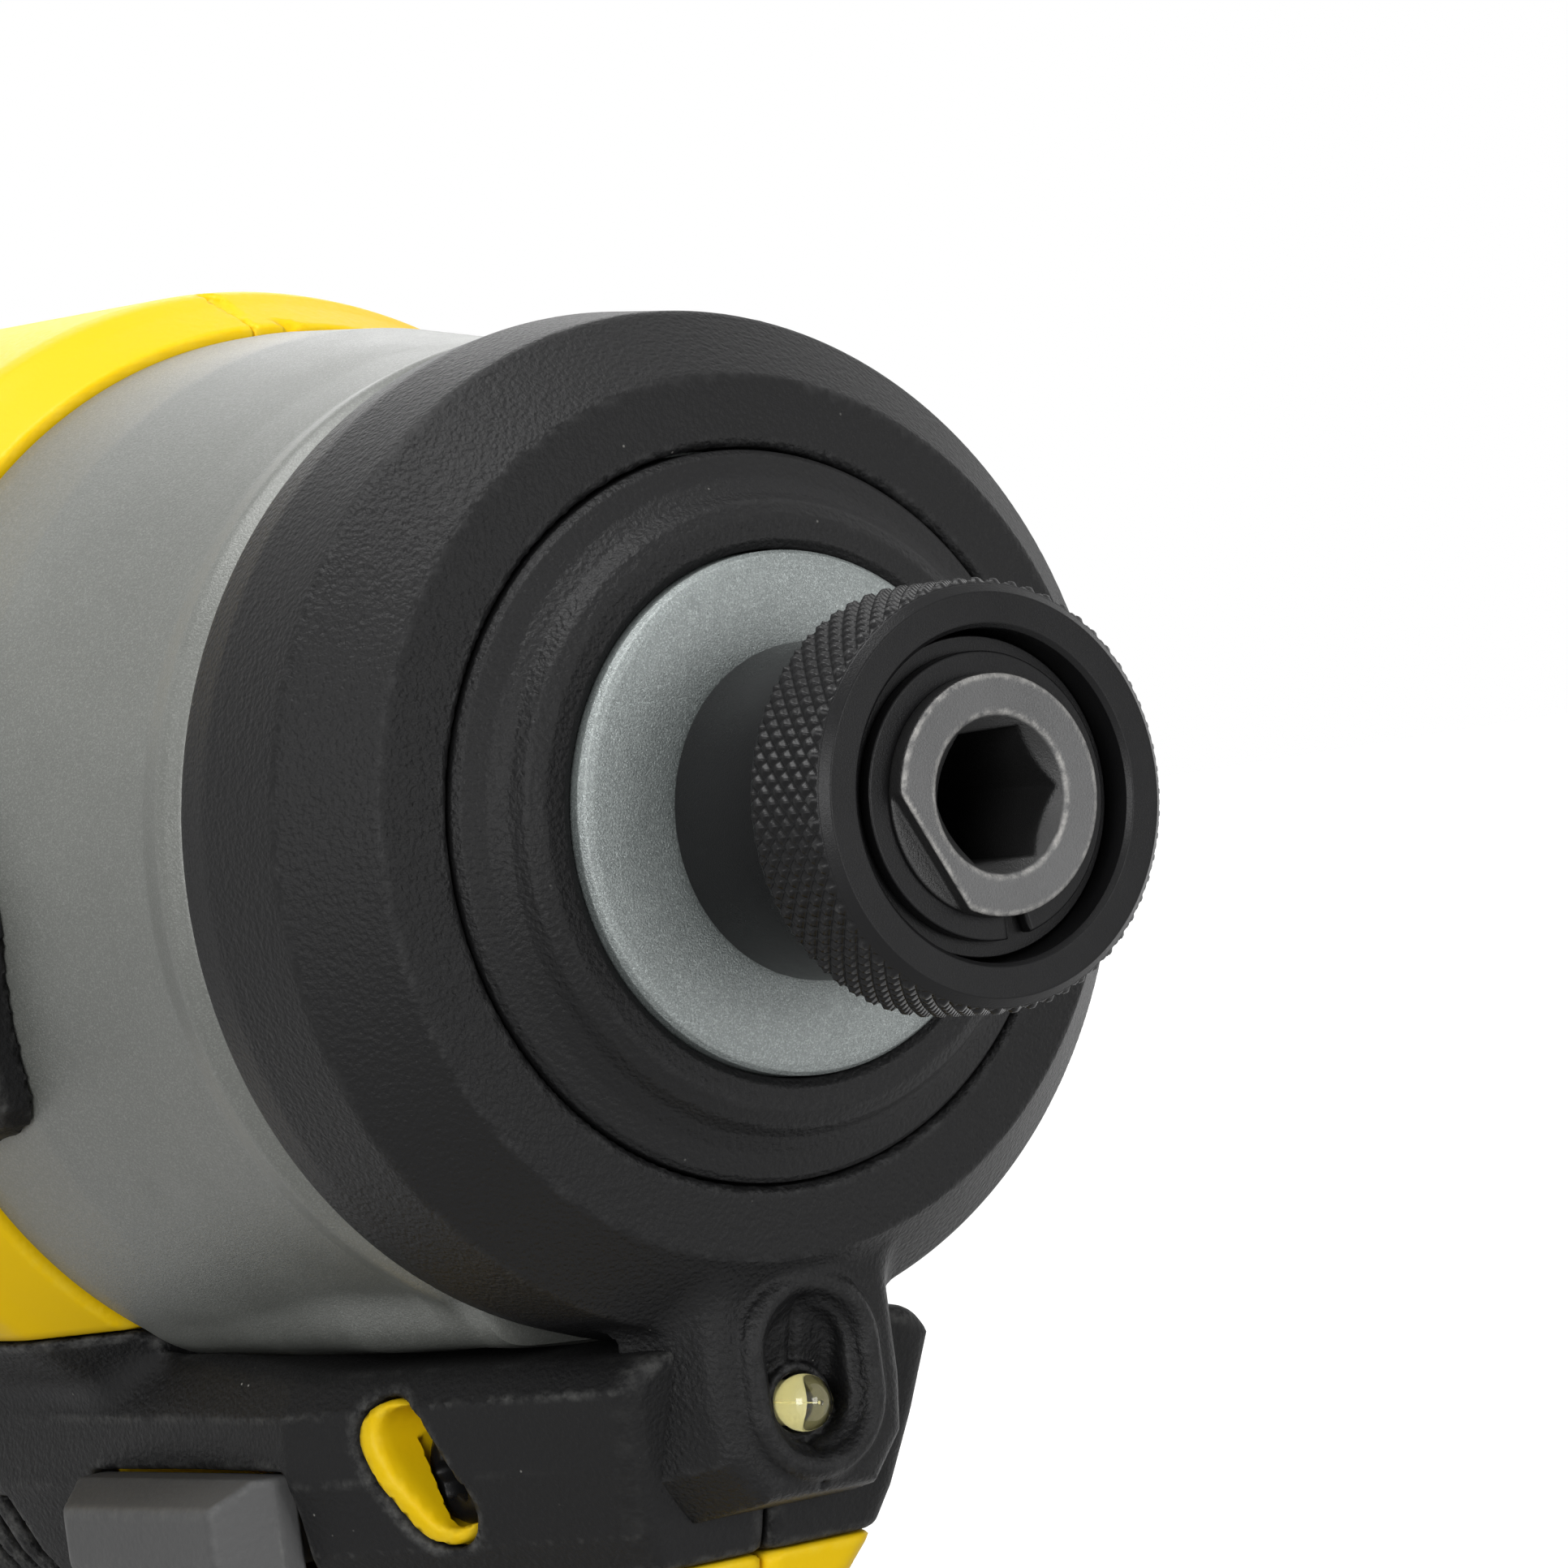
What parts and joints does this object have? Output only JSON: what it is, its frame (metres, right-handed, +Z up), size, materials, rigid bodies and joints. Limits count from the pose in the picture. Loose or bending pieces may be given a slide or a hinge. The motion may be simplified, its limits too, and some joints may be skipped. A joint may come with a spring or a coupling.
{
  "type": "impact driver",
  "caption": "Hand-held cordless impact driver with a quick-change hex bit sleeve, pistol grip, trigger, nose lamp and slide-on battery base.",
  "frame": {"origin": "middle of the battery's flat base, on the surface the tool stands on", "axes": "+X forward along the spindle to the nose, +Y to the tool's left side, +Z up"},
  "size_m": [0.1398, 0.0963, 0.2095],
  "materials": {
    "yellow_housing": "fine texture, satin",
    "soft_grip": "grained, matt",
    "hard_black": "fine texture",
    "case_paint": "metallic fleck, satin",
    "black_oxide": "black oxide, satin",
    "bright_steel": "ground",
    "anvil_steel": "fine blasted",
    "bronze": "sintered",
    "copper_wire": "enamelled",
    "magnet": "dark",
    "grey_plastic": "satin",
    "lamp_clear": "clear",
    "board": "lacquered",
    "cell_wrap": "shrink wrap",
    "lead_wire": "plain",
    "contact_brass": "plated"
  },
  "bodies": {
    "tool": {"anvil_bushing": "bronze", "thrust_washer": "bright_steel", "hammer_case": "case_paint", "nose_ring": "hard_black", "nose_boot": "soft_grip", "work_lamp": "lamp_clear", "lamp_leads": "lead_wire", "ring_gear": "anvil_steel", "gearbox_plate": "hard_black", "carrier_bearing": "bright_steel", "front_motor_bearing": "bright_steel", "rear_motor_bearing": "bright_steel", "stator": "magnet", "stator_coils": "copper_wire", "sensor_board": "board", "housing_left": "yellow_housing", "housing_right": "yellow_housing", "overmold_left": "soft_grip", "overmold_right": "soft_grip", "trigger_spring": "bright_steel", "switch_body": "hard_black", "control_board": "board", "terminal_block": "hard_black", "housing_screws": "black_oxide", "belt_hook": "bright_steel", "hook_screw": "black_oxide", "accessory_nut": "contact_brass"},
    "anvil_body": {"anvil": "anvil_steel", "sleeve_washer": "black_oxide", "retaining_ring": "black_oxide", "sleeve_spring": "bright_steel"},
    "sleeve": {"collet_sleeve": "black_oxide"},
    "ball_upper": {"detent_ball_upper": "bright_steel"},
    "ball_lower": {"detent_ball_lower": "bright_steel"},
    "carrier": {"planet_carrier": "anvil_steel", "planet_pins": "bright_steel", "cam_balls": "bright_steel", "hammer_spring": "bright_steel"},
    "hammer_body": {"hammer": "anvil_steel"},
    "planet_1": {"planet_gear_1": "bright_steel"},
    "planet_2": {"planet_gear_2": "bright_steel"},
    "planet_3": {"planet_gear_3": "bright_steel"},
    "rotor": {"rotor_shaft": "bright_steel", "rotor_magnets": "magnet", "fan": "hard_black"},
    "trigger_body": {"trigger": "hard_black"},
    "direction": {"direction_button": "grey_plastic"},
    "battery": {"battery_lower_case": "hard_black", "battery_upper_case": "hard_black", "battery_cells": "cell_wrap", "battery_contacts": "contact_brass", "battery_screws": "black_oxide", "latch_spring": "bright_steel"},
    "latch": {"latch_button": "grey_plastic"},
    "gauge": {"gauge_button": "grey_plastic"}
  },
  "joints": [
    {"name": "carrier_spin", "type": "hinge", "parent": "tool", "child": "carrier", "pos_m": [0.028, 0, 0.178], "axis": [1, 0, 0], "continuous": true},
    {"name": "anvil_spin", "type": "hinge", "parent": "tool", "child": "anvil_body", "pos_m": [0.068, 0, 0.178], "axis": [1, 0, 0], "continuous": true},
    {"name": "rotor_spin", "type": "hinge", "parent": "tool", "child": "rotor", "pos_m": [-0.012, 0, 0.178], "axis": [1, 0, 0], "continuous": true},
    {"name": "hammer_retreat", "type": "slide", "parent": "carrier", "child": "hammer_body", "axis": [-1, 0, 0], "range_m": [0, 0.007], "stiffness_N_per_m": 3000, "springref_m": -0.004, "deforming": ["hammer_spring"]},
    {"name": "sleeve_pull", "type": "slide", "parent": "anvil_body", "child": "sleeve", "axis": [1, 0, 0], "range_m": [0, 0.0035], "stiffness_N_per_m": 800, "springref_m": -0.003, "deforming": ["sleeve_spring"]},
    {"name": "ball_upper_slide", "type": "slide", "parent": "anvil_body", "child": "ball_upper", "axis": [0, 0, 1], "range_m": [0, 0.001]},
    {"name": "ball_lower_slide", "type": "slide", "parent": "anvil_body", "child": "ball_lower", "axis": [0, 0, -1], "range_m": [0, 0.001]},
    {"name": "trigger_pull", "type": "slide", "parent": "tool", "child": "trigger_body", "axis": [-1, 0, 0], "range_m": [0, 0.007], "stiffness_N_per_m": 400, "springref_m": -0.004, "deforming": ["trigger_spring"]},
    {"name": "direction_shift", "type": "slide", "parent": "tool", "child": "direction", "axis": [0, 1, 0], "range_m": [-0.0025, 0.0025]},
    {"name": "battery_slide", "type": "slide", "parent": "tool", "child": "battery", "axis": [-1, 0, 0], "range_m": [0, 0.084]},
    {"name": "latch_press", "type": "slide", "parent": "battery", "child": "latch", "axis": [0, 0, -1], "range_m": [0, 0.0018], "stiffness_N_per_m": 600, "springref_m": -0.0015, "deforming": ["latch_spring"]},
    {"name": "gauge_press", "type": "slide", "parent": "battery", "child": "gauge", "axis": [1, 0, 0], "range_m": [0, 0.0008], "stiffness_N_per_m": 400, "springref_m": -0.0008},
    {"name": "planet_1_spin", "type": "hinge", "parent": "carrier", "child": "planet_1", "pos_m": [0.014, 0, 0.1885], "axis": [1, 0, 0], "continuous": true},
    {"name": "planet_2_spin", "type": "hinge", "parent": "carrier", "child": "planet_2", "pos_m": [0.014, -0.00909, 0.17275], "axis": [1, 0, 0], "continuous": true},
    {"name": "planet_3_spin", "type": "hinge", "parent": "carrier", "child": "planet_3", "pos_m": [0.014, 0.00909, 0.17275], "axis": [1, 0, 0], "continuous": true}
  ],
  "couplings": [
    {"joint": "anvil_spin", "follows": "carrier_spin", "ratio": 1},
    {"joint": "rotor_spin", "follows": "carrier_spin", "ratio": 6},
    {"joint": "planet_1_spin", "follows": "carrier_spin", "ratio": -2.5},
    {"joint": "planet_2_spin", "follows": "carrier_spin", "ratio": -2.5},
    {"joint": "planet_3_spin", "follows": "carrier_spin", "ratio": -2.5},
    {"joint": "ball_upper_slide", "follows": "sleeve_pull", "ratio": 0.278},
    {"joint": "ball_lower_slide", "follows": "sleeve_pull", "ratio": 0.278}
  ]
}
